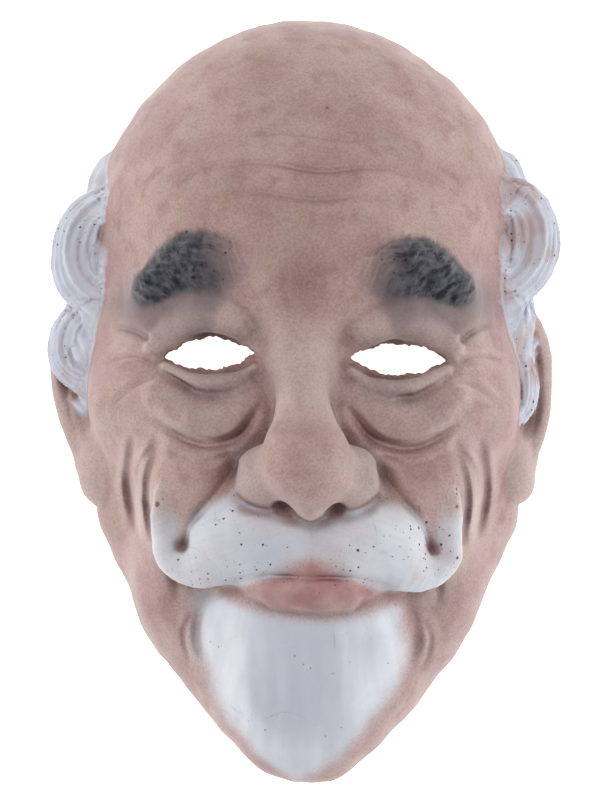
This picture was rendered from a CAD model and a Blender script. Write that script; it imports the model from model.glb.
# A latex old man mask, lying face up on its rim, with the finish of painted and airbrushed latex.
# The mask's form is a function of a point in millimetres, as in the part's source, with finer
# strands, folds and edges added, and it is meshed here as one thin shell.
import math

import bpy
import numpy as np
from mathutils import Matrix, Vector


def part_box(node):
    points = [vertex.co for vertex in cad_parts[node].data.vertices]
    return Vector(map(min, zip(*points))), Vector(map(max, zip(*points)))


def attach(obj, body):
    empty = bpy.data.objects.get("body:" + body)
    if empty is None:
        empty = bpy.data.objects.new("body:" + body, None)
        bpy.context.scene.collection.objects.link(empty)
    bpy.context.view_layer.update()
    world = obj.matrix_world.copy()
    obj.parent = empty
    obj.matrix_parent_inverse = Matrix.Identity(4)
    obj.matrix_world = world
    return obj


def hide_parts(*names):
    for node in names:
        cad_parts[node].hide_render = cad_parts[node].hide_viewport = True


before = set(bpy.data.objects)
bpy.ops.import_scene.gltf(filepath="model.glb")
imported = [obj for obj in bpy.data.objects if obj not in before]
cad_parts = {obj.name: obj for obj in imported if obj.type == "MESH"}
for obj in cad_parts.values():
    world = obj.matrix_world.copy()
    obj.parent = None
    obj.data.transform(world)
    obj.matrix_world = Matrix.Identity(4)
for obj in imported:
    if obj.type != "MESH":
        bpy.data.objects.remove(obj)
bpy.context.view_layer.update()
NODE = "latex_mask"
MM = 0.001

# Driving dimensions, in millimetres as in the part's source
HEAD_HALF_WIDTH = 90
CROWN_Y = 155
GOATEE_TIP_Y = -155
FACE_Z = 98
BROW_Y = 50
EYE_X = 37
EYE_Y = 14
EYE_HOLE_HALF_WIDTH = 18.5
EYE_HOLE_HALF_HEIGHT = 6.2
EYE_HOLE_SLOPE = math.radians(4.5)
EYE_HOLE_BACK_Z = 50
NOSE_TIP_Z = 136
NOSE_BASE_Y = -43
MOUTH_Y = -72
MOUTH_HALF_WIDTH = 31
EAR_PLACE = (84, -4, 24)
EAR_TILT = math.radians(35)
WALL = 3
THINNEST_WALL = 1.6

# Mesh fineness: the fine grid's step, how many of them a coarse step holds, how near the surface the
# fine grid is worked out, and how many triangles are kept in all and on the plain inside
STEP = 0.7
COARSE = 4
BAND = 7.0
ALL_TRIANGLES = 190_000
INNER_TRIANGLES = 24_000
RIM_SNAP = 0.35

# The box that the mask is worked out in, and a distance that stands for "not near"
LOW = (-112.3, -162.3, -3.3)
HIGH = (112, 160, 142)
FAR = 60.0


# Forms: each is a function of a point (x, y, z), negative inside, and about the distance outside
def smooth_min(a, b, blend):
    """The smaller of two distances, rounded over where they are nearly alike."""
    nearness = np.maximum(blend - np.abs(a - b), 0.0)
    return np.minimum(a, b) - nearness * nearness / (4.0 * blend)


def smooth_step(low, high, value):
    """0 at low and before, 1 at high and past it, and smooth between, whichever of them is larger."""
    t = np.clip((value - low) / (high - low), 0.0, 1.0)
    return t * t * (3.0 - 2.0 * t)


def ellipsoid(centre, radii):
    def form(p):
        u, v, w = ((p[i] - centre[i]) / radii[i] for i in range(3))
        way_out = np.sqrt(u * u + v * v + w * w)
        steepness = np.sqrt((u / radii[0]) ** 2 + (v / radii[1]) ** 2 + (w / radii[2]) ** 2) + 1e-9
        return way_out * (way_out - 1.0) / steepness
    return form


def pair(form):
    """A form made on the right, and its mirror image."""
    return lambda p: form((np.abs(p[0]), p[1], p[2]))


def on_side(side, form):
    """A form made on the right, moved to the left where side is -1."""
    return lambda p: form((side * p[0], p[1], p[2]))


def route(corners, steps=4):
    """A smooth route through a few points, as an array of close ones."""
    c = np.array([tuple(q) + (0.0,) * (3 - len(q)) for q in corners], float)
    c = np.vstack([2 * c[0] - c[1], c, 2 * c[-1] - c[-2]])
    points = []
    for i in range(1, len(c) - 2):
        before, here, ahead, after = c[i - 1:i + 3]
        bend = 2 * before - 5 * here + 4 * ahead - after
        twist = 3 * here - before - 3 * ahead + after
        for step in range(steps):
            t = step / steps
            points.append(0.5 * (2 * here + (ahead - before) * t + bend * t**2 + twist * t**3))
    return np.array(points + [c[-2]])


def along(values, share):
    """The value at a share of the way along evenly spaced ones."""
    return np.interp(share, np.linspace(0, 1, len(values)), values)


def within(low, high, form):
    """The form where it can matter, in a box, and far away elsewhere."""
    def bounded(p):
        near = np.ones(p[0].shape, bool)
        for i in range(3):
            near &= (p[i] > low[i]) & (p[i] < high[i])
        out = np.full(p[0].shape, FAR, np.float32)
        if near.any():
            out[near] = form(tuple(c[near] for c in p))
        return out
    return bounded


def around(points, sizes, x, y, z, turned):
    """The gap to a round roll along a route and, if turned, the place on it: the angle round it and the
    share of the way along it."""
    gap = np.full(x.shape, 1e3, np.float32)
    angle = np.zeros(x.shape, np.float32)
    share = np.zeros(x.shape, np.float32)
    for i in range(len(points) - 1):
        start, run = points[i], points[i + 1] - points[i]
        length_sq = float(run @ run)
        dx, dy, dz = x - start[0], y - start[1], z - start[2]
        t = np.clip((dx * run[0] + dy * run[1] + dz * run[2]) / length_sq, 0, 1)
        wx, wy, wz = dx - run[0] * t, dy - run[1] * t, dz - run[2] * t
        here = np.sqrt(wx * wx + wy * wy + wz * wz) - sizes[i] - (sizes[i + 1] - sizes[i]) * t
        closer = here < gap
        gap = np.where(closer, here, gap)
        if turned:
            way = run / math.sqrt(length_sq)
            side = np.array([way[1], -way[0], 0.0])
            side /= np.linalg.norm(side)
            up = np.cross(side, way)
            turn = np.arctan2(wx * side[0] + wy * side[1], wx * up[0] + wy * up[1] + wz * up[2])
            angle = np.where(closer, turn, angle)
            share = np.where(closer, (i + t) / (len(points) - 1), share)
    return gap, angle, share


def roll(points, radii, reach=10, comb=None):
    """A round roll along a route. comb(angle, share, size) gives how deep its strands are cut."""
    points = np.array(points, float)
    sizes = along(radii, np.linspace(0, 1, len(points)))

    def form(p):
        gap, angle, share = around(points, sizes, *p, comb is not None)
        return gap + comb(angle, share, along(sizes, share)) if comb else gap

    margin = max(radii) + reach + 2
    return within(points.min(0) - margin, points.max(0) + margin, form)


def beside_route(points, x, y):
    """How far points are from a route as the face is seen from the front, and how far along it."""
    nearest = np.full(x.shape, 1e3, np.float32)
    share = np.zeros(x.shape, np.float32)
    for i in range(len(points) - 1):
        dx, dy = points[i + 1][0] - points[i][0], points[i + 1][1] - points[i][1]
        t = np.clip(((x - points[i][0]) * dx + (y - points[i][1]) * dy) / (dx * dx + dy * dy), 0, 1)
        gap = np.hypot(x - points[i][0] - dx * t, y - points[i][1] - dy * t)
        share = np.where(gap < nearest, (i + t) / (len(points) - 1), share)
        nearest = np.minimum(nearest, gap)
    return nearest, share


# A crease's reach and the soft lips beside it, as shares of its width and depth, and how low it goes
CREASE_REACH = 4.5
LIP_HEIGHT, LIP_PLACE, LIP_WIDTH = 0.25, 2.2, 1.1
CREASE_FLOOR_Z = 15


def crease(corners, width, depth):
    """A groove in the skin with a soft lip on both sides, fading out at its ends."""
    points = route(corners, 5)
    low = points.min(0) - CREASE_REACH * width
    high = points.max(0) + CREASE_REACH * width

    def form(p):
        x, y, z = p
        near = (z > CREASE_FLOOR_Z) & (x > low[0]) & (x < high[0]) & (y > low[1]) & (y < high[1])
        out = np.zeros(x.shape, np.float32)
        if near.any():
            gap, share = beside_route(points, x[near], y[near])
            fade = np.sqrt(np.maximum(np.sin(np.pi * share), 0))
            aside = gap / width
            lip = LIP_HEIGHT * np.exp(-((aside - LIP_PLACE) / LIP_WIDTH) ** 2)
            out[near] = depth * fade * (np.exp(-aside * aside) - lip)
        return out
    return form


# Steps of the sculpting: each takes the distance so far and gives the new one. join adds a form, carve
# takes one out, both with a rounded seam, and sink lowers the surface by what the form says
def join(form, blend):
    return lambda d, p: smooth_min(d, form(p), blend)


def carve(form, blend):
    return lambda d, p: -smooth_min(-d, form(p), blend)


def sink(form):
    return lambda d, p: d + form(p)


def sculpt(steps):
    """One form made by the steps in turn."""
    def form(p, start=FAR):
        d = np.full(p[0].shape, start, np.float32) if np.isscalar(start) else start
        for step in steps:
            d = step(d, p)
        return d
    return form


# Head: skull, face, cheekbones, muzzle, jaw, chin and goatee, hollowed at the temples, cheeks and eyes
JAW = route([(64, -50, 10), (48, -86, 24), (26, -116, 38), (8, -134, 44)], 1)
BROW_RIDGE = route([(9, BROW_Y - 10, 86), (34, BROW_Y - 5, 86), (56, BROW_Y - 12, 69)], 1)

head = sculpt([
    join(ellipsoid((0, CROWN_Y - 101, 4), (HEAD_HALF_WIDTH, 101, 98)), 1),
    join(ellipsoid((0, -16, 6), (HEAD_HALF_WIDTH - 6, 100, 84)), 34),
    join(pair(ellipsoid((49, -2, 50), (34, 28, 37))), 20),
    join(ellipsoid((0, MOUTH_Y + 14, 42), (44, 38, 54)), 20),
    join(pair(roll(JAW, (18, 17, 15, 12), 24)), 24),
    join(ellipsoid((0, -80, 34), (59, 56, 40)), 18),
    join(ellipsoid((0, GOATEE_TIP_Y + 59, 53), (39, 59, 41)), 20),
    carve(pair(ellipsoid((115, 42, 76), (34, 34, 42))), 26),
    carve(pair(ellipsoid((90, -60, 96), (32, 36, 36))), 34),
    join(pair(roll(BROW_RIDGE, (13, 13, 11), 14)), 14),
    carve(pair(ellipsoid((EYE_X - 1, EYE_Y + 1, FACE_Z + 14), (25, 15, 25))), 13),
])


def on_head(corners, lift):
    """The points of a route drawn from the front, set on the head's surface or a little off it."""
    points = route(corners)
    x, y = points[:, 0].astype(np.float32), points[:, 1].astype(np.float32)
    low, high = np.zeros_like(x), np.full_like(x, HIGH[2])
    for _ in range(20):
        middle = (low + high) / 2
        outside_head = head((x, y, middle)) > 0
        high = np.where(outside_head, middle, high)
        low = np.where(outside_head, low, middle)
    return np.column_stack([x, y, low + points[:, 2] + lift])


# Nose, eyes, cheeks and lips
NOSE_RIDGE = route([(0, 32, 91), (0, 2, 103), (0, -20, NOSE_TIP_Z - 21)], 1)
nose_bridge = [
    join(roll(NOSE_RIDGE, (10, 10, 13)), 10),
    join(ellipsoid((0, NOSE_BASE_Y + 16, NOSE_TIP_Z - 18), (18.5, 17, 18)), 9),
    join(ellipsoid((0, NOSE_BASE_Y + 5, FACE_Z - 2), (22, 11, 17)), 8),
    join(ellipsoid((0, NOSE_BASE_Y + 20, FACE_Z + 2), (15, 22, 20)), 4),
]
nose_wings = [
    join(pair(ellipsoid((18.5, NOSE_BASE_Y + 11, FACE_Z + 3), (10, 11.5, 14))), 8),
    join(ellipsoid((0, NOSE_BASE_Y + 2, FACE_Z + 12), (5.5, 7, 12)), 5),
    carve(pair(ellipsoid((10, NOSE_BASE_Y - 2, FACE_Z + 10), (4, 4, 6))), 2),
]
UPPER_LID = on_head([(17, 17, -1), (26, 26, 2), (40, 28, 3), (58, 18, 1)], -1)
LOWER_LID = on_head([(19, 10, 2), (28, 4, 4), (42, 3, 4), (55, 9, 2)], -1)
EYE_BAG = on_head([(20, 0), (31, -9), (45, -10), (58, -2)], -2.5)
eyes = [
    join(pair(ellipsoid((EYE_X, EYE_Y - 1, FACE_Z - 30), (23, 16, 22))), 5),
    join(pair(roll(UPPER_LID, (2.5, 6, 6.5, 4))), 4),
    join(pair(roll(LOWER_LID, (1.5, 3, 3, 1.5))), 3),
    join(pair(roll(EYE_BAG, (3, 7, 7, 4))), 6),
]
cheeks = [
    join(pair(ellipsoid((43, -34, 63), (22, 27, 28))), 18),
    join(pair(ellipsoid((36, -50, 70), (21, 20, 21))), 14),
    join(pair(ellipsoid((50, -74, 44), (17, 27, 23))), 18),
]
LOWER_LIP = route([(0, MOUTH_Y - 6, 98), (14, MOUTH_Y - 5, 96), (MOUTH_HALF_WIDTH - 1, MOUTH_Y, 87)], 1)
UPPER_LIP = route([(0, MOUTH_Y + 5, 99), (12, MOUTH_Y + 6, 98), (MOUTH_HALF_WIDTH, MOUTH_Y + 1, 86)], 1)
lips = pair(sculpt([
    join(roll(LOWER_LIP, (7.5, 6.5, 2)), 1),
    join(roll(UPPER_LIP, (6, 5.5, 2)), 1.2),
]))

# Creases, drawn from the front: corners, then width and depth
middle_creases = [
    crease([(-38, 73), (-20, 77), (2, 76), (20, 78), (38, 74)], 1.5, 1.4),
    crease([(-46, 84), (-22, 89), (4, 87), (26, 90), (48, 85)], 1.6, 1.7),
    crease([(-30, 99), (-8, 101), (12, 100), (38, 103)], 1.4, 1.1),
    crease([(-6, 54), (-7, 44), (-6, 34)], 1.5, 0.9),
    crease([(7, 52), (8, 43), (7, 34)], 1.5, 0.8),
]
crows_feet = [
    crease([(58, 17), (66, 23), (76, 27)], 1.3, 0.9),
    crease([(60, 12), (69, 14), (79, 12)], 1.3, 1.1),
    crease([(58, 5), (67, 2), (77, -6)], 1.3, 1.0),
]
cheek_creases = [
    crease([(17, -4), (28, -18), (44, -21), (60, -12)], 1.8, 1.5),
    crease([(27, -27), (35, -38), (44, -51), (51, -68), (52, -84)], 2.2, 1.6),
    crease([(37, -78), (43, -92), (41, -108)], 2.4, 1.2),
    crease([(58, -18), (63, -38), (62, -60)], 2.0, 1.6),
    crease([(68, -18), (72, -38), (69, -58)], 1.8, 1.3),
]
fine_creases = [
    crease([(12, 94), (24, 96), (40, 95)], 1.1, 0.5),
    crease([(46, 92), (56, 88), (63, 82)], 1.2, 0.6),
    crease([(10, 69), (20, 70), (31, 67)], 1.1, 0.5),
    crease([(24, -15), (36, -19), (49, -16)], 1.0, 0.45),
    crease([(30, -24), (42, -28), (54, -24)], 1.1, 0.5),
    crease([(60, -22), (66, -30), (68, -44)], 1.1, 0.5),
    crease([(46, -88), (49, -98), (46, -110)], 1.2, 0.6),
    crease([(22, 44), (17, 37), (15, 30)], 1.1, 0.5),
    crease([(70, 60), (74, 68), (73, 80)], 1.2, 0.5),
]
creases = [sink(form) for form in middle_creases]
creases += [sink(pair(form)) for form in crows_feet + cheek_creases + fine_creases]

# The main form, which the hollow inside follows too
main_form = sculpt([join(head, 1), *nose_bridge, *cheeks])

# Ear: bowl, rim and lobe in the ear's own plane, laid along the side of the head
EAR_RIM = route([(-10, 16, 1), (-2, 33, 2), (13, 34, 3), (22, 18, 4), (19, -4, 4), (10, -24, 2)])
flat_ear = sculpt([
    join(ellipsoid((4, 4, 0), (19, 33, 5)), 1),
    join(roll(EAR_RIM, (3, 4, 4, 4, 3.5, 3)), 2.5),
    carve(ellipsoid((5, 2, 5), (9, 17, 6)), 3),
    join(ellipsoid((2, -30, 1), (10, 12, 5.5)), 5),
])


def one_ear(p):
    """The ear on the right, tilted out from the head."""
    dx, dy, dz = (p[i] - EAR_PLACE[i] for i in range(3))
    across = dx * math.sin(EAR_TILT) - dz * math.cos(EAR_TILT)
    out = dx * math.cos(EAR_TILT) + dz * math.sin(EAR_TILT)
    return flat_ear((across, dy, out))


ears = pair(within((55, -60, -30), (125, 60, 70), one_ear))

# Moustache: a pad over the lip and a horn at each end, which turns up over the cheek
TAIL = route([
    (18, -59, 92), (36, -66, 88), (46, -69, 84), (53, -66, 82),
    (56, -58, 83), (56.5, -49, 84.5), (57, -42, 86),
])
moustache = pair(sculpt([
    join(ellipsoid((15, NOSE_BASE_Y - 13, 91), (31, 16, 16)), 1),
    join(roll(TAIL, (12, 10, 7.5, 6.2, 5.4, 4.8, 3.4)), 5),
]))

# The goatee is part of the chin, so only its middle, its top and its folds are set here
GOATEE_MIDDLE_X = -3
GOATEE_TOP_Y = -87


def whisker_folds(across, lengthwise):
    """Low folds in the combed whiskers: broad ones that wander, and narrower ones between them."""
    broad = np.sin(0.34 * across + 1.1 * np.sin(0.06 * lengthwise + 0.4))
    narrow = np.sin(0.9 * across + 1.4 * np.sin(0.08 * lengthwise + 2))
    return (0.4 * broad + 0.1 * narrow) * (0.7 + 0.3 * np.sin(0.1 * lengthwise - 0.07 * across))


def combed_moustache(p):
    x, y = p[0], p[1]
    return moustache(p) + whisker_folds(0.93 * y + 0.36 * np.abs(x), x)


def goatee_folds(p):
    x, y, z = p
    region = smooth_step(GOATEE_TOP_Y + 2, GOATEE_TOP_Y - 12, y) * smooth_step(40, 58, z)
    return region * smooth_step(42, 28, np.abs(x - GOATEE_MIDDLE_X)) * whisker_folds(x, y)


# Brow: a raised patch of hair combed up and out, and the slant of its tufts and of its painted strands
BROW_HEIGHT = 3.2
BROW_COMB = math.radians(28)
BROW_PAINT = math.radians(20)
BROW_ROUTE = route([(16, BROW_Y - 7), (28, BROW_Y - 1), (45, BROW_Y + 1), (61, BROW_Y - 8)])
BROW_HALF_WIDTH = (4, 9, 10.5, 6.5)


def brow_place(p):
    """How far out of the brow's middle line a point is, as a share of its half width, and the share of
    the way along it, from the inner end."""
    x, y, z = np.abs(p[0]), p[1], p[2]
    near = (z > CREASE_FLOOR_Z) & (x > 2) & (x < 90) & (np.abs(y - BROW_Y) < 34)
    off, share = np.full(x.shape, 9, np.float32), np.zeros(x.shape, np.float32)
    if near.any():
        gap, share[near] = beside_route(BROW_ROUTE, x[near], y[near])
        off[near] = gap / along(BROW_HALF_WIDTH, share[near])
    return off, share


def brow_relief(p):
    """How far the brow raises the skin, as a change of the distance."""
    off, share = brow_place(p)
    x, y = np.abs(p[0]), p[1]
    across = y * math.cos(BROW_COMB) - x * math.sin(BROW_COMB)
    down = y * math.sin(BROW_COMB) + x * math.cos(BROW_COMB)
    bend = 0.9 * np.sin(0.21 * down + 0.35 * p[0]) + 0.5 * np.sin(0.53 * down + 1.0)
    bushy = smooth_step(0.1, 0.6, share)
    ragged = off + 0.1 * bushy * np.sin(1.4 * across + bend) + 0.06 * np.sin(0.9 * down + 2)
    cover = smooth_step(1.3, 0.45, ragged) * (0.35 + 0.65 * bushy)
    strands = 0.2 * np.sin(0.97 * across + bend) + 0.15 * np.sin(2.3 * across + 2 * bend + 0.7)
    clumps = 0.12 * np.sin(0.9 * down + 1.7 * across)
    return -BROW_HEIGHT * cover * (1 + bushy * (strands + clumps))


# Hair: locks at the temples with strands round them, over a band combed flat behind the ear
STRANDS, FINE_STRANDS = 7, 19
STRANDS_START, STRANDS_END = 0.12, 0.85
BAND_Y, BAND_Z, BAND_HALF_HEIGHT, BAND_HALF_DEPTH, BAND_THICKNESS = 44, 4, 56, 34, 4.5


def hair_comb(angle, share, size):
    """Strands round a lock: broad ones, and finer ones that wander along it and end where it thins.
    They run out before the lock's ends, which are smooth."""
    broad = np.cos(STRANDS * angle + 1.2 * np.sin(6 * share) + 0.8 * np.sin(2 * angle + 9 * share))
    broad *= 0.85 + 0.3 * np.sin(3 * angle - 8 * share)
    fine = np.cos(FINE_STRANDS * angle + 2.4 * np.sin(5 * share + 1.0))
    ends = smooth_step(0.0, STRANDS_START, share) * smooth_step(1.0, STRANDS_END, share)
    return ends * (0.75 * broad + 0.45 * fine * smooth_step(4.5, 8.5, size))


def curl(centre, reach, start, turn, z, sag, thick):
    """A lock of hair that curls round a centre, thinning towards its end: its route and radii."""
    share = np.linspace(0, 1, 25)
    angle = np.radians(start - turn * share)
    shrink = 1 - 0.7 * share**4
    level = z - sag * np.sin(np.pi * share**0.9)
    x = centre[0] + reach[0] * shrink * np.cos(angle)
    y = centre[1] + reach[1] * shrink * np.sin(angle)
    radii = thick * (0.45 + 0.55 * np.sin(np.pi * (0.12 + 0.8 * share) ** 0.8))
    return np.column_stack([x, y, level]), radii


HANGING_LOCK = route([
    (82, 44, 24), (87, 32, 22), (84, 18, 22), (88, 5, 24),
    (87, -6, 28), (81, -5, 32), (80, 2, 33),
])
# Each lock: its side, its route as on the right, and its radii
LOCKS = [
    (-1, *curl((80.5, 57), (12, 17), 160, 330, 38, 12, 11.5)),
    (-1, *curl((86, 20), (9, 12), 120, 290, 28, 8, 9)),
    (1, *curl((81.5, 58), (12, 17), 155, 325, 39, 12, 11.5)),
    (1, HANGING_LOCK, np.array([6, 8, 7, 7.5, 6.5, 5, 3])),
]
CURL_HEART = ellipsoid((78, 57, 28), (10, 14, 9))
locks = sculpt([
    *[join(on_side(side, roll(points, radii, 4, hair_comb)), 1.8) for side, points, radii in LOCKS],
    join(pair(CURL_HEART), 1.8),
])


def hair_band(p):
    """Hair combed flat over the side of the head, behind the locks and the ear."""
    y, z = p[1], p[2]
    region = np.hypot((y - BAND_Y) / BAND_HALF_HEIGHT, (z - BAND_Z) / BAND_HALF_DEPTH)
    wander = 1.5 * np.sin(0.06 * y)
    strands = np.sin(0.42 * z + 0.2 * y + wander) + 0.45 * np.sin(1.3 * z + 0.62 * y + 3 * wander)
    return -smooth_min(BAND_THICKNESS - strands - head(p), (1 - region) * 30, 5)


side_hair = pair(within((40, -40, -60), (140, 130, 70), hair_band))


def uneven(p):
    """The slight unevenness of a hand-made mould: where a point of the mask is in the even design."""
    x, y, z = p
    return (
        x + 1.3 * np.sin(0.031 * y + 0.5) + 0.8 * np.sin(0.055 * x + 0.04 * y + 1.1),
        y + 1.2 * np.sin(0.045 * x + 0.4) + 0.7 * np.sin(0.06 * x - 0.03 * y + 2.0),
        z + 1.3 * np.sin(0.037 * x + 0.05 * y + 0.9),
    )


def lumps(p):
    """The shallow lumps of a surface modelled by hand."""
    x, y = p[0], p[1]
    broad = np.sin(0.2 * x + 1.2 * np.sin(0.09 * y + 0.05 * x))
    broad *= np.sin(0.17 * y + 0.9 * np.sin(0.13 * x + 1))
    small = np.sin(0.43 * x - 0.21 * y + 1.1 * np.sin(0.2 * y))
    small *= np.sin(0.37 * y + 0.24 * x + 2)
    return 0.35 * broad + 0.15 * small


# Everything on the main form, in the order that it was put there
features = sculpt([
    *nose_wings,
    *eyes,
    join(lips, 4),
    *creases,
    join(ears, 4),
    join(combed_moustache, 3.5),
    sink(goatee_folds),
    sink(brow_relief),
    join(side_hair, 3),
    join(locks, 4),
    sink(lumps),
])


def outside(p):
    """The outer surface."""
    q = uneven(p)
    return features(q, main_form(q))


def eye_holes(q):
    """Negative in the eye holes, which are almonds cut by hand, so their edges wander a little."""
    x, y, z = q
    u = (np.abs(x) - EYE_X) / EYE_HOLE_HALF_WIDTH
    middle = EYE_Y - math.tan(EYE_HOLE_SLOPE) * (np.abs(x) - EYE_X)
    ragged = 0.4 * np.sin(0.47 * x + 0.6 * y)
    ragged += 0.3 * np.sin(1.15 * x - 0.7 * y + 1.0) * np.sin(0.31 * x + 2)
    ragged += 0.28 * np.sin(2.3 * x + 1.9 * y) * np.sin(0.53 * x - 0.4 * y)
    half = EYE_HOLE_HALF_HEIGHT * (1 - u * u) + ragged * (1 - u**8)
    return np.where((z > EYE_HOLE_BACK_Z) & (np.abs(u) < 1.1), np.abs(y - middle) - half, FAR)


def shell(p):
    """The mask's wall: within the outside, out of the inside, above the rim and clear of the eye holes."""
    q = uneven(p)
    main = main_form(q)
    outer = features(q, main)
    hollow = np.maximum(main + WALL, outer + THINNEST_WALL)
    return np.maximum(np.maximum(outer, -hollow), np.maximum(-p[2], -eye_holes(q)))


# Mesh the shell: surface nets on a grid that is only worked out near the surface
CORNERS = [(i, j, k) for i in (0, 1) for j in (0, 1) for k in (0, 1)]
CUBE_EDGES = [(a, b) for a in range(8) for b in range(a + 1, 8) if bin(a ^ b).count("1") == 1]
CHUNK = 250_000


def in_chunks(form, points):
    """The form at many points, worked out a few at a time to spare memory."""
    values = np.empty(len(points[0]), np.float32)
    for i in range(0, len(values), CHUNK):
        values[i:i + CHUNK] = form(tuple(c[i:i + CHUNK].astype(np.float32) for c in points))
    return values


def fine_grid(form):
    """The form on the fine grid. Far from the surface a coarse grid's values are enough."""
    big = STEP * COARSE
    counts = [math.ceil((HIGH[i] - LOW[i]) / big) for i in range(3)]
    axes = [LOW[i] + big * (np.arange(counts[i]) + 0.5) for i in range(3)]
    corners = np.meshgrid(*axes, indexing="ij")
    rough = in_chunks(form, [c.ravel() for c in corners]).reshape(counts)
    values = rough.repeat(COARSE, 0).repeat(COARSE, 1).repeat(COARSE, 2)
    near = np.nonzero(np.abs(values) < BAND)
    values[near] = in_chunks(form, [LOW[i] + STEP * (near[i] + 0.5) for i in range(3)])
    return values


def part_contacts(values, rounds=8):
    """Fills the grid squares whose diagonals are inside and outside, where the surface would touch
    itself along an edge."""
    n = values.shape
    for _ in range(rounds):
        inside = values < 0
        touched = 0
        for axis in range(3):
            a, b = (i for i in range(3) if i != axis)

            def corner(i, j):
                place = [slice(0, n[axis])] * 3
                place[a], place[b] = slice(i, n[a] - 1 + i), slice(j, n[b] - 1 + j)
                return inside[tuple(place)]

            one, two = corner(0, 0), corner(1, 0)
            spots = np.nonzero((one != two) & (one == corner(1, 1)) & (two == corner(0, 1)))
            touched += len(spots[0])
            for i, j in ((0, 0), (1, 0), (0, 1), (1, 1)):
                place = list(spots)
                place[a], place[b] = spots[a] + i, spots[b] + j
                values[tuple(place)] = np.minimum(values[tuple(place)], -0.01)
        if not touched:
            break
    return values


def surface_nets(values):
    """One vertex in each grid cell that the surface crosses, and a quad for each crossed grid edge."""
    inside = values < 0
    n = values.shape
    count = np.zeros([size - 1 for size in n], np.int8)
    for i, j, k in CORNERS:
        count += inside[i:n[0] - 1 + i, j:n[1] - 1 + j, k:n[2] - 1 + k]
    cells = np.nonzero((count > 0) & (count < 8))
    at = [values[cells[0] + i, cells[1] + j, cells[2] + k] for i, j, k in CORNERS]
    total = np.zeros((len(cells[0]), 3))
    hits = np.zeros(len(cells[0]))
    for a, b in CUBE_EDGES:
        crossed = (at[a] < 0) != (at[b] < 0)
        t = np.where(crossed, at[a] / np.where(crossed, at[a] - at[b], 1.0), 0.0)
        for i in range(3):
            total[:, i] += crossed * (CORNERS[a][i] + (CORNERS[b][i] - CORNERS[a][i]) * t)
        hits += crossed
    points = np.stack([LOW[i] + STEP * (cells[i] + total[:, i] / hits + 0.5) for i in range(3)], 1)
    keys = (cells[0] * (n[1] - 1) + cells[1]) * (n[2] - 1) + cells[2]
    quads = []
    for axis in range(3):
        others = [i for i in range(3) if i != axis]
        first = [slice(1, n[i] - 1) for i in range(3)]
        second = list(first)
        first[axis] = slice(0, n[axis] - 1)
        second[axis] = slice(1, n[axis])
        starts_inside = inside[tuple(first)]
        place = list(np.nonzero(starts_inside != inside[tuple(second)]))
        outward = starts_inside[tuple(place)]
        for i in others:
            place[i] = place[i] + 1

        def cell(down, left):
            c = list(place)
            c[others[0]] = c[others[0]] - down
            c[others[1]] = c[others[1]] - left
            return np.searchsorted(keys, (c[0] * (n[1] - 1) + c[1]) * (n[2] - 1) + c[2])

        quad = np.stack([cell(0, 0), cell(1, 0), cell(1, 1), cell(0, 1)], 1)
        turned = outward == (axis == 1)
        quad[turned] = quad[turned][:, ::-1]
        quads.append(quad)
    return points, np.concatenate(quads)


def settle(points, rounds=2, gap=0.2, most=0.5):
    """Moves the points along the form's slope onto the surface."""
    p = points.T.astype(np.float32)
    for _ in range(rounds):
        here = in_chunks(shell, p)
        ahead = [in_chunks(shell, [c + gap * (i == j) for j, c in enumerate(p)]) for i in range(3)]
        slope = (np.stack(ahead) - here) / gap
        move = slope * here / np.maximum((slope**2).sum(0), 0.25)
        size = np.sqrt((move**2).sum(0))
        p = (p - move * np.minimum(1, most / np.maximum(size, 1e-6))).astype(np.float32)
    return p.T


# Build the mask: its mesh, thinned where it is plain
def mesh_object(name, points, faces):
    mesh = bpy.data.meshes.new(name)
    mesh.vertices.add(len(points))
    mesh.vertices.foreach_set("co", np.ascontiguousarray(points, np.float32).ravel())
    mesh.loops.add(faces.size)
    mesh.loops.foreach_set("vertex_index", faces.astype(np.int32).ravel())
    mesh.polygons.add(len(faces))
    mesh.polygons.foreach_set("loop_start", np.arange(0, faces.size, faces.shape[1], dtype=np.int32))
    mesh.update(calc_edges=True)
    mesh.validate()
    obj = bpy.data.objects.new(name, mesh)
    bpy.context.collection.objects.link(obj)
    return obj


def triangles_of(obj):
    return sum(len(face.vertices) - 2 for face in obj.data.polygons)


def vertices_of(obj):
    points = np.empty(len(obj.data.vertices) * 3, np.float32)
    obj.data.vertices.foreach_get("co", points)
    return points.reshape(-1, 3)


def thin_out(obj, chosen, share_kept):
    """Thins only the chosen vertices' part of the mesh, until that share of all triangles is left."""
    group = obj.vertex_groups.new(name="thin")
    group.add(np.nonzero(chosen)[0].tolist(), 1.0, "REPLACE")
    modifier = obj.modifiers.new("thin", "DECIMATE")
    modifier.ratio = share_kept
    modifier.vertex_group = "thin"
    modifier.vertex_group_factor = 1000
    bpy.context.view_layer.objects.active = obj
    bpy.ops.object.modifier_apply(modifier=modifier.name)
    obj.vertex_groups.remove(obj.vertex_groups["thin"])


def faces_inwards(points):
    """Whether a point of the mesh is on the mask's inside rather than its painted side."""
    p = tuple(points.T.astype(np.float32))
    q = uneven(p)
    main = main_form(q)
    outer = features(q, main)
    return np.abs(outer) > np.abs(np.maximum(main + WALL, outer + THINNEST_WALL))


points, quads = surface_nets(part_contacts(fine_grid(shell)))
points = settle(points)
points[points[:, 2] < RIM_SNAP, 2] = 0
mask = mesh_object("mask_skin", points, quads)
inner = faces_inwards(points)
triangles = triangles_of(mask)
inner_count = triangles * inner.mean()
thin_out(mask, inner, 1 - (inner_count - INNER_TRIANGLES) / triangles)
thin_out(mask, ~faces_inwards(vertices_of(mask)), ALL_TRIANGLES / triangles_of(mask))


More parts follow.
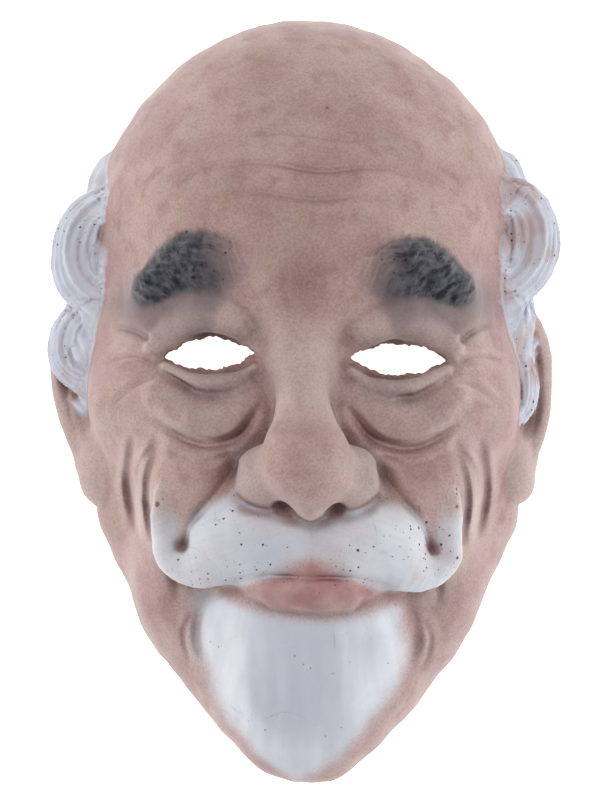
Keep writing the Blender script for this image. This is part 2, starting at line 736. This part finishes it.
# Paint: soft masks from 0 to 1 at the mesh's vertices, as the colours were airbrushed on
GOATEE_HEIGHTS = (-160, -152, -144, -134, -120, -100, -84, -76)
GOATEE_HALF_WIDTHS = (-10, 4, 17, 27, 35, 40, 40, 38)
FOLD_REACH, HOLLOW_REACH = 3.0, 9.0
EDGE_REACH, RIDGE_REACH = 5.0, 20.0


def openness(p, normals, reach):
    """How open the surface is in front of each point, from 0 in a deep fold to 1 on a flat or a ridge."""
    out = tuple(p[i] + reach * normals[i] for i in range(3))
    return np.clip(in_chunks(outside, out) / reach, 0, 1)


def thinness(p, normals, reach):
    """How thin the form is behind each point: 0 on a flat, more on a ridge or an edge."""
    back = tuple(p[i] - reach * normals[i] for i in range(3))
    return np.clip(1 + in_chunks(outside, back) / reach, 0, 1)


def soft_spot(x, y, centre, radii):
    """1 at a spot's centre, fading out past its radii."""
    return np.exp(-((x - centre[0]) / radii[0]) ** 2 - ((y - centre[1]) / radii[1]) ** 2)


def whisker_masks(q, wander):
    """The white of the moustache, which leaves its horns' tips bare, and the white of the goatee."""
    x, y, z = q
    aside = np.abs(x)
    tip_x, tip_y = TAIL[-1][:2]
    upper = smooth_step(5.5, -2.5, moustache(q) + 0.3 * wander)
    upper *= smooth_step(NOSE_BASE_Y + 4, NOSE_BASE_Y - 12, y - 0.3 * aside + 0.5 * wander)
    upper *= 1 - 0.85 * soft_spot(aside, y, (tip_x, tip_y + 1), (6, 7))
    shield = np.interp(y, GOATEE_HEIGHTS, GOATEE_HALF_WIDTHS) - np.abs(x - GOATEE_MIDDLE_X) + wander
    top = GOATEE_TOP_Y + 8 * (x / 35) ** 2
    goatee = smooth_step(-9, 9, shield) * smooth_step(top + 4, top - 8, y) * smooth_step(30, 50, z)
    return upper, goatee


def brow_masks(q):
    """The dark of the brows, the soft shade sprayed below them, and where their strands run."""
    aside, y = np.abs(q[0]), q[1]
    off, share = brow_place(q)
    below = np.interp(aside, BROW_ROUTE[:, 0], BROW_ROUTE[:, 1]) - y
    dark = smooth_step(1.45, 0.8, off - 0.25 * smooth_step(-2, 8, below)) * smooth_step(0.02, 0.75, share)
    shade = smooth_step(4.4, 0.9, off) * smooth_step(-8, 8, below) * smooth_step(0.0, 0.4, share)
    return dark, shade, off < 2.5


def eye_shade(q):
    """Grey airbrushed on the lids, under the eyes and beside the nose."""
    aside, y = np.abs(q[0]), q[1]
    lid = soft_spot(aside, y, (EYE_X, EYE_Y + 5), (21, 10))
    pouch = soft_spot(aside, y + 0.25 * (aside - EYE_X), (EYE_X - 5, EYE_Y - 14), (20, 6))
    beside_nose = soft_spot(aside, y, (25, -28), (7, 14))
    return np.clip(0.45 * lid + 0.4 * pouch + 0.4 * beside_nose, 0, 1)


def nearest_lock(q):
    """Strand coordinates on the locks, in millimetres: across the strands and along them."""
    best = np.full(q[0].shape, 1e3, np.float32)
    across, lengthwise = np.zeros_like(best), np.zeros_like(best)
    for side, points, radii in LOCKS:
        points = np.array(points, float)
        sizes = along(radii, np.linspace(0, 1, len(points)))
        gap, angle, share = around(points, sizes, side * q[0], q[1], q[2], True)
        length = np.linalg.norm(np.diff(points, axis=0), axis=1).sum()
        closer = gap < best
        across = np.where(closer, angle * along(sizes, share), across)
        lengthwise = np.where(closer, share * length, lengthwise)
        best = np.minimum(best, gap)
    return across, lengthwise


def strand_flow(q, on_locks, on_band, on_moustache, on_goatee, on_brow):
    """Places across and along the painted strands, in millimetres. The first region given wins."""
    x, y, z = q
    aside = np.abs(x)
    flows = [
        (on_locks, *nearest_lock(q)),
        (on_band, 0.9 * z + 0.4 * y, y),
        (on_moustache, y * 0.93 + 0.36 * aside, aside),
        (on_goatee, x * (1 + 0.004 * y), y),
        (on_brow, aside * math.cos(BROW_PAINT) - y * math.sin(BROW_PAINT), y),
    ]
    across, lengthwise = x.copy(), y.copy()
    for region, u, v in reversed(flows):
        across = np.where(region > 0.3, u, across)
        lengthwise = np.where(region > 0.3, v, lengthwise)
    return across, lengthwise


def paint_masks(points, normals):
    """Each mask by its name, for the material to read."""
    p = tuple(points.T.astype(np.float32))
    n = tuple(normals.T.astype(np.float32))
    q = uneven(p)
    x, y = q[0], q[1]
    aside = np.abs(x)
    wander = 1.6 * np.sin(0.11 * x + 0.08 * y) + 1.1 * np.sin(0.19 * y - 0.15 * x + 2)

    lock_gap, band_gap = locks(q), side_hair(q)
    on_locks = smooth_step(1.4, 0.1, lock_gap)
    on_band = smooth_step(1.2, 0.0, band_gap)
    on_ear = smooth_step(1.5, 0.0, ears(q)) * (1 - on_locks)
    hair = smooth_step(2.6, 0.4, smooth_min(lock_gap, band_gap, 4) + 0.25 * wander) * (1 - on_ear)
    upper, goatee = whisker_masks(q, wander)
    lip = smooth_step(1.8, -1.0, lips(q)) * (1 - upper)
    brow, halo, near_brow = brow_masks(q)
    across, lengthwise = strand_flow(q, on_locks, on_band, upper, goatee, near_brow)

    # The goatee's white is thin down its middle, and the hair's is worn more on the right
    thin_white = np.exp(-((x - GOATEE_MIDDLE_X + 0.1 * (y + 110)) / 19) ** 4) * smooth_step(-150, -125, y)
    worn = hair * np.where(x > 0, 1.0, 0.45)
    bubbly = np.max([smooth_step(13, 3, moustache(q)), 0.8 * hair, 0.55 * goatee, 0.7 * lip], axis=0)
    between_brows = soft_spot(x, y, (0, BROW_Y - 6), (15, 20))
    curl_heart = hair * soft_spot(aside, y, (82, 60), (5, 8))
    deep = [1 - openness(p, n, HOLLOW_REACH), 0.65 * between_brows, 0.95 * curl_heart]
    thin = [thinness(p, n, EDGE_REACH), 0.9 * thinness(p, n, RIDGE_REACH)]
    return {
        "hair": hair,
        "worn": worn,
        "whiskers": np.maximum(upper, goatee),
        "thin_white": thin_white,
        "white": np.max([hair, upper, goatee * (1 - lip)], axis=0),
        "lip": lip,
        "brow": brow,
        "halo": halo,
        "grey": eye_shade(q),
        "inner": faces_inwards(points).astype(np.float32),
        "bubbly": bubbly,
        "fold": 1 - openness(p, n, FOLD_REACH),
        "hollow": np.max(deep, axis=0),
        "ridge": np.max(thin, axis=0),
        "across": across,
        "along": lengthwise,
    }


points = vertices_of(mask)
normals = np.empty(len(points) * 3, np.float32)
mask.data.vertex_normals.foreach_get("vector", normals)
for name, values in paint_masks(points, normals.reshape(-1, 3)).items():
    attribute = mask.data.attributes.new(name, "FLOAT", "POINT")
    attribute.data.foreach_set("value", values.astype(np.float32))

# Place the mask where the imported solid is: its middle over the frame's origin, its rim on the ground
low, high = (np.array(corner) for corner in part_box(NODE))
points = points * MM
middle = (points.min(0) + points.max(0)) / 2
points += [(low[0] + high[0]) / 2 - middle[0], (low[1] + high[1]) / 2 - middle[1], 0]
mask.data.vertices.foreach_set("co", points.astype(np.float32).ravel())
mask.data.shade_smooth()
mask.data.set_sharp_from_angle(angle=math.radians(70))
mask.data.update()


# Materials. Colours are sRGB bytes, sizes and places in metres
SKIN_PINK, SKIN_PALE = (179, 144, 141), (194, 163, 156)
SKIN_TAN, SKIN_BLOTCH = (184, 162, 147), (163, 120, 115)
SKIN_RIDGE, SKIN_HOLLOW, SKIN_FOLD = (213, 190, 183), (130, 88, 80), (92, 60, 56)
EYE_SHADE = (104, 88, 94)
LIGHT_GRAIN, DARK_GRAIN, SPECK = (226, 206, 198), (138, 102, 98), (112, 62, 56)
LIP_PINK, LIP_RED, LIP_FOLD = (196, 148, 147), (172, 116, 117), (120, 66, 66)
WHITE, WHITE_SHADED, WHITE_THIN = (233, 234, 239), (223, 225, 232), (203, 207, 218)
GROOVE, WHITE_FOLD, WHITE_HOLLOW = (186, 188, 204), (130, 120, 134), (156, 120, 115)
LAVENDER, RUBBED, BRUSH_LINE = (200, 200, 217), (192, 164, 158), (150, 148, 158)
BROW_DARK, BROW_GREY, BROW_SHADE = (44, 45, 50), (86, 85, 91), (108, 96, 99)
SPOT_BROWN, PINHOLE = (104, 64, 57), (44, 36, 40)
BARE_LATEX, BARE_LATEX_THIN = (214, 188, 166), (198, 168, 146)

# Small brown spots in the paint: place and radius
SPOTS = [
    ((-0.0575, -0.0425, 0.0885), 0.0011),
    ((0.0605, -0.0435, 0.0885), 0.0009),
    ((0.013, -0.087, 0.103), 0.0021),
    ((0.009, 0.113, 0.082), 0.001),
    ((-0.062, -0.022, 0.068), 0.001),
    ((0.047, -0.036, 0.089), 0.0009),
    ((-0.033, 0.068, 0.099), 0.0008),
]


def linear(colour):
    """A colour given as sRGB bytes, as the shaders take it."""
    shares = [c / 255 for c in colour]
    return tuple(c / 12.92 if c <= 0.04 else ((c + 0.055) / 1.055) ** 2.4 for c in shares) + (1,)


class Graph:
    """Short names for building a material's nodes."""

    def __init__(self, name):
        self.material = bpy.data.materials.new(name)
        self.material.use_nodes = True
        self.tree = self.material.node_tree
        self.surface = self.tree.nodes["Principled BSDF"]
        self.place = self.node("TexCoord").outputs["Object"]

    def node(self, kind, inputs=(), **settings):
        new = self.tree.nodes.new("ShaderNode" + kind)
        for key, value in settings.items():
            setattr(new, key, value)
        for key, value in dict(inputs).items():
            self.put(new.inputs[key], value)
        return new

    def put(self, socket, value):
        if isinstance(value, bpy.types.NodeSocket):
            self.tree.links.new(value, socket)
        else:
            socket.default_value = value

    def mask(self, name):
        return self.node("Attribute", attribute_name=name).outputs["Fac"]

    def math(self, operation, a, b=0.0):
        return self.node("Math", {0: a, 1: b}, operation=operation).outputs[0]

    def times(self, a, b):
        return self.math("MULTIPLY", a, b)

    def plus(self, a, b):
        return self.math("ADD", a, b)

    def off_middle(self, noise):
        """A noise around 0 instead of 0.5."""
        return self.math("SUBTRACT", noise, 0.5)

    def largest(self, first, *others):
        for other in others:
            first = self.math("MAXIMUM", first, other)
        return first

    def mix(self, amount, a, b):
        """Mixes two colours."""
        new = self.node("Mix", data_type="RGBA")
        for index, value in ((0, amount), (6, a), (7, b)):
            self.put(new.inputs[index], value)
        return new.outputs[2]

    def coat(self, under, colour, amount):
        """Lays one plain colour over another, by an amount from 0 to 1."""
        return self.mix(amount, under, linear(colour))

    def spread(self, value, low, high, to_low=0.0, to_high=1.0):
        """A value from low to high, taken smoothly to another range."""
        inputs = {0: value, 1: low, 2: high, 3: to_low, 4: to_high}
        return self.node("MapRange", inputs, interpolation_type="SMOOTHSTEP").outputs[0]

    def noise(self, scale, detail=3.0, roughness=0.55, place=None):
        place = self.place if place is None else place
        inputs = {"Vector": place, "Scale": scale, "Detail": detail, "Roughness": roughness}
        return self.node("TexNoise", inputs).outputs["Fac"]

    def cells(self, scale):
        return self.node("TexVoronoi", {"Vector": self.place, "Scale": scale}).outputs

    def pinholes(self, scale, radius):
        """Round dots, one in each cell of a scatter where the radius, a share of the cell, lets it show."""
        scatter = self.cells(scale)
        chance = self.node("SeparateColor", {0: scatter["Color"]}).outputs[0]
        size = self.times(radius, self.spread(chance, 0.2, 1.0, 0.3, 1.0))
        inside = self.math("SUBTRACT", size, scatter["Distance"])
        return self.spread(inside, 0.0, 0.05)

    def bump(self, height, distance, strength, normal=None):
        new = self.node("Bump", {"Strength": strength, "Distance": distance, "Height": height})
        if normal is not None:
            self.put(new.inputs["Normal"], normal)
        return new.outputs["Normal"]


class PaintedLatex(Graph):
    """Coats of airbrushed paint over cast latex. Each method gives one coat, or lays it over a colour."""

    def __init__(self):
        super().__init__("painted_latex")
        self.clouds = self.noise(32)
        self.tan_clouds = self.noise(55)
        self.blotches = self.noise(110, 4)
        self.mottle = self.noise(240)
        self.grain = self.noise(1000, 3, 0.6)
        drawn_out = self.times(self.mask("along"), 0.07)
        flow = self.node("CombineXYZ", {"X": self.mask("across"), "Y": drawn_out}).outputs[0]
        self.strands = self.noise(0.5, 2, 0.5, flow)
        self.fine_strands = self.noise(1.6, 3, 0.6, flow)

    def skin(self):
        """Clouds of pink and tan, paler on ridges and red-brown in folds, with a fine grain and specks."""
        colour = self.mix(self.spread(self.clouds, 0.38, 0.62), linear(SKIN_PINK), linear(SKIN_PALE))
        colour = self.coat(colour, SKIN_TAN, self.spread(self.tan_clouds, 0.5, 0.68, 0, 0.6))
        colour = self.coat(colour, SKIN_BLOTCH, self.spread(self.blotches, 0.48, 0.75, 0, 0.55))
        colour = self.coat(colour, SKIN_RIDGE, self.spread(self.mask("ridge"), 0.12, 0.55, 0, 0.6))
        colour = self.coat(colour, SKIN_HOLLOW, self.spread(self.mask("hollow"), 0.15, 0.8, 0, 0.7))
        colour = self.coat(colour, SKIN_FOLD, self.spread(self.mask("fold"), 0.15, 0.85, 0, 0.85))
        grey = self.times(self.mask("grey"), self.spread(self.blotches, 0.25, 0.7, 0.6, 1.0))
        colour = self.coat(colour, EYE_SHADE, grey)
        colour = self.coat(colour, LIGHT_GRAIN, self.spread(self.grain, 0.45, 0.65, 0, 0.11))
        colour = self.coat(colour, DARK_GRAIN, self.spread(self.grain, 0.55, 0.35, 0, 0.21))
        speck_size = self.spread(self.noise(60), 0.58, 0.72, 0.0, 0.11)
        specks = self.math("LESS_THAN", self.cells(150)["Distance"], speck_size)
        return self.coat(colour, SPECK, self.times(specks, 0.5))

    def lips_over(self, colour):
        red = self.mix(self.spread(self.blotches, 0.3, 0.7), linear(LIP_PINK), linear(LIP_RED))
        red = self.coat(red, LIP_FOLD, self.spread(self.mask("fold"), 0.2, 0.9))
        return self.mix(self.mask("lip"), colour, red)

    def brush_lines(self):
        """A few thin lines that a brush left in the white."""
        off_line = self.math("ABSOLUTE", self.off_middle(self.noise(24, 1)))
        return self.times(self.spread(off_line, 0.005, 0.001), self.spread(self.tan_clouds, 0.5, 0.6))

    def white_paint(self):
        """White with grey grooves, and skin showing deep between the locks and where it is rubbed."""
        hair, whiskers = self.mask("hair"), self.mask("whiskers")
        colour = self.mix(self.spread(self.tan_clouds, 0.4, 0.65), linear(WHITE), linear(WHITE_SHADED))
        groove = self.times(self.spread(self.strands, 0.58, 0.36), self.spread(hair, 0, 1, 0.1, 0.5))
        colour = self.coat(colour, GROOVE, groove)
        thin = self.largest(self.spread(self.noise(16, 2), 0.45, 0.7, 0, 0.6), self.mask("thin_white"))
        colour = self.coat(colour, WHITE_THIN, self.times(self.times(thin, whiskers), 0.8))
        colour = self.coat(colour, WHITE_FOLD, self.spread(self.mask("fold"), 0.1, 0.8, 0, 0.85))
        colour = self.coat(colour, WHITE_HOLLOW, self.spread(self.mask("hollow"), 0.35, 0.9, 0, 0.8))
        colour = self.coat(colour, LAVENDER, self.times(hair, 0.4))
        rubbed = self.times(self.spread(self.noise(42, 2), 0.48, 0.64, 0, 0.75), self.mask("worn"))
        colour = self.coat(colour, RUBBED, rubbed)
        return self.coat(colour, BRUSH_LINE, self.times(self.times(self.brush_lines(), whiskers), 0.3))

    def white_over(self, colour):
        """The white is sprayed on, so it thins out over the skin in patches and mist."""
        white = self.mask("white")
        patches = self.times(self.off_middle(self.blotches), 0.4)
        mist = self.times(self.off_middle(self.grain), 0.25)
        cover = self.spread(self.plus(self.plus(white, patches), mist), 0.0, 1.0)
        return self.mix(self.times(cover, self.spread(white, 0.0, 0.2)), colour, self.white_paint())

    def brows_over(self, colour):
        """Dark grey over the bushy part, streaked with skin inwards, with a soft grey shade below."""
        brow = self.mask("brow")
        tone = self.spread(self.plus(self.mottle, self.times(self.strands, 0.5)), 0.6, 0.9)
        dark = self.mix(tone, linear(BROW_DARK), linear(BROW_GREY))
        streak_depth = self.times(self.math("SUBTRACT", 1.0, brow), 1.3)
        streaked = self.plus(brow, self.times(self.off_middle(self.strands), streak_depth))
        colour = self.coat(colour, BROW_SHADE, self.times(self.mask("halo"), 0.85))
        cover = self.times(self.spread(streaked, 0.1, 1.0), self.spread(brow, 0.0, 0.1))
        return self.mix(cover, colour, dark)

    def spots_over(self, colour):
        for spot, radius in SPOTS:
            gap = self.node("VectorMath", {0: self.place, 1: spot}, operation="DISTANCE").outputs["Value"]
            colour = self.coat(colour, SPOT_BROWN, self.spread(gap, 1.4 * radius, 0.7 * radius, 0, 0.85))
        return colour

    def bubbles(self):
        """Air bubbles left in the cast: small pinholes, in clusters, and all over the brows."""
        clusters = self.times(self.mask("bubbly"), self.spread(self.noise(48, 2), 0.38, 0.55))
        in_brows = self.times(self.mask("brow"), self.spread(self.noise(90, 2), 0.36, 0.5))
        return self.largest(
            self.pinholes(330, self.times(clusters, 0.22)),
            self.pinholes(640, self.times(clusters, 0.2)),
            self.pinholes(330, self.times(in_brows, 0.42)),
        )

    def relief(self, bubbles):
        """The latex's own grain, strands in the hair and brows and faintly in the whiskers, and bubbles."""
        combed = self.largest(self.mask("hair"), self.mask("brow"), self.times(self.mask("whiskers"), 0.1))
        strands = self.plus(self.strands, self.times(self.fine_strands, 0.4))
        strands = self.times(self.plus(strands, self.times(self.mottle, 0.5)), combed)
        skin = self.plus(self.times(self.blotches, 0.8), self.times(self.grain, 0.2))
        normal = self.bump(skin, 0.0006, 0.35)
        normal = self.bump(strands, 0.0009, 0.5, normal)
        return self.bump(self.math("SUBTRACT", 1.0, bubbles), 0.0008, 0.8, normal)


def latex_material():
    g = PaintedLatex()
    colour = g.lips_over(g.skin())
    colour = g.brows_over(g.white_over(colour))
    colour = g.spots_over(colour)
    bubbles = g.bubbles()
    colour = g.coat(colour, PINHOLE, g.times(bubbles, 0.9))
    bare = g.mix(g.spread(g.clouds, 0.3, 0.7), linear(BARE_LATEX), linear(BARE_LATEX_THIN))
    g.put(g.surface.inputs["Base Color"], g.mix(g.mask("inner"), colour, bare))
    g.put(g.surface.inputs["Roughness"], g.spread(g.blotches, 0.3, 0.7, 0.55, 0.72))
    g.put(g.surface.inputs["Normal"], g.relief(bubbles))
    g.surface.inputs["Specular IOR Level"].default_value = 0.32
    g.surface.inputs["Sheen Weight"].default_value = 0.2
    g.surface.inputs["Sheen Roughness"].default_value = 0.4
    return g.material


mask.data.materials.clear()
mask.data.materials.append(latex_material())
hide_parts(NODE)
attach(mask, "root")


# A white floor, soft lights and the camera, which looks straight down on the lying mask
def floor_material():
    g = Graph("white_floor")
    g.put(g.surface.inputs["Base Color"], g.mix(g.noise(3), (0.88, 0.88, 0.88, 1), (0.9, 0.9, 0.9, 1)))
    g.surface.inputs["Roughness"].default_value = 0.9
    g.surface.inputs["Emission Color"].default_value = (1, 1, 1, 1)
    g.surface.inputs["Emission Strength"].default_value = 0.95
    return g.material


FLOOR_HALF_WIDTH = 3
FLOOR_GAP = 0.0004
floor_corners = np.array([(-1, -1, 0), (1, -1, 0), (1, 1, 0), (-1, 1, 0)], float) * FLOOR_HALF_WIDTH
floor = mesh_object("floor", floor_corners - (0, 0, FLOOR_GAP), np.array([[0, 1, 2, 3]]))
floor.data.materials.append(floor_material())

LIT_POINT = Vector((0, 0, 0.05))
COOL = (0.92, 0.97, 1)


def soft_light(name, place, size, power, colour):
    data = bpy.data.lights.new(name, "AREA")
    data.shape = "DISK"
    data.size = size
    data.energy = power
    data.color = colour
    light = bpy.data.objects.new(name, data)
    bpy.context.collection.objects.link(light)
    light.location = place
    light.rotation_euler = (LIT_POINT - Vector(place)).to_track_quat("-Z", "Y").to_euler()


soft_light("key", (-0.3, 0.55, 1.3), 0.7, 7, (1, 0.99, 0.98))
soft_light("left", (-1.3, -0.35, 0.5), 1.0, 6, COOL)
soft_light("right", (1.3, -0.3, 0.5), 1.0, 9.2, COOL)
world = bpy.data.worlds.new("studio")
world.use_nodes = True
world.node_tree.nodes["Background"].inputs["Color"].default_value = (0.95, 0.97, 1, 1)
world.node_tree.nodes["Background"].inputs["Strength"].default_value = 0.25
bpy.context.scene.world = world
bpy.context.scene.view_settings.view_transform = "Standard"

# The camera: its height over the ground, the height of its frame where the mask's outline is, and
# the point that it looks at
CAMERA_HEIGHT = 1.5
OUTLINE_HEIGHT = 0.03
FRAME_HEIGHT = 0.327
PHOTO_CENTRE = (-0.0015, -0.0016)
camera = bpy.data.cameras.new("camera")
camera.sensor_width = 36
camera.lens = camera.sensor_width * (CAMERA_HEIGHT - OUTLINE_HEIGHT) / FRAME_HEIGHT
view = bpy.data.objects.new("camera", camera)
view.location = (*PHOTO_CENTRE, CAMERA_HEIGHT)
bpy.context.collection.objects.link(view)
bpy.context.scene.camera = view
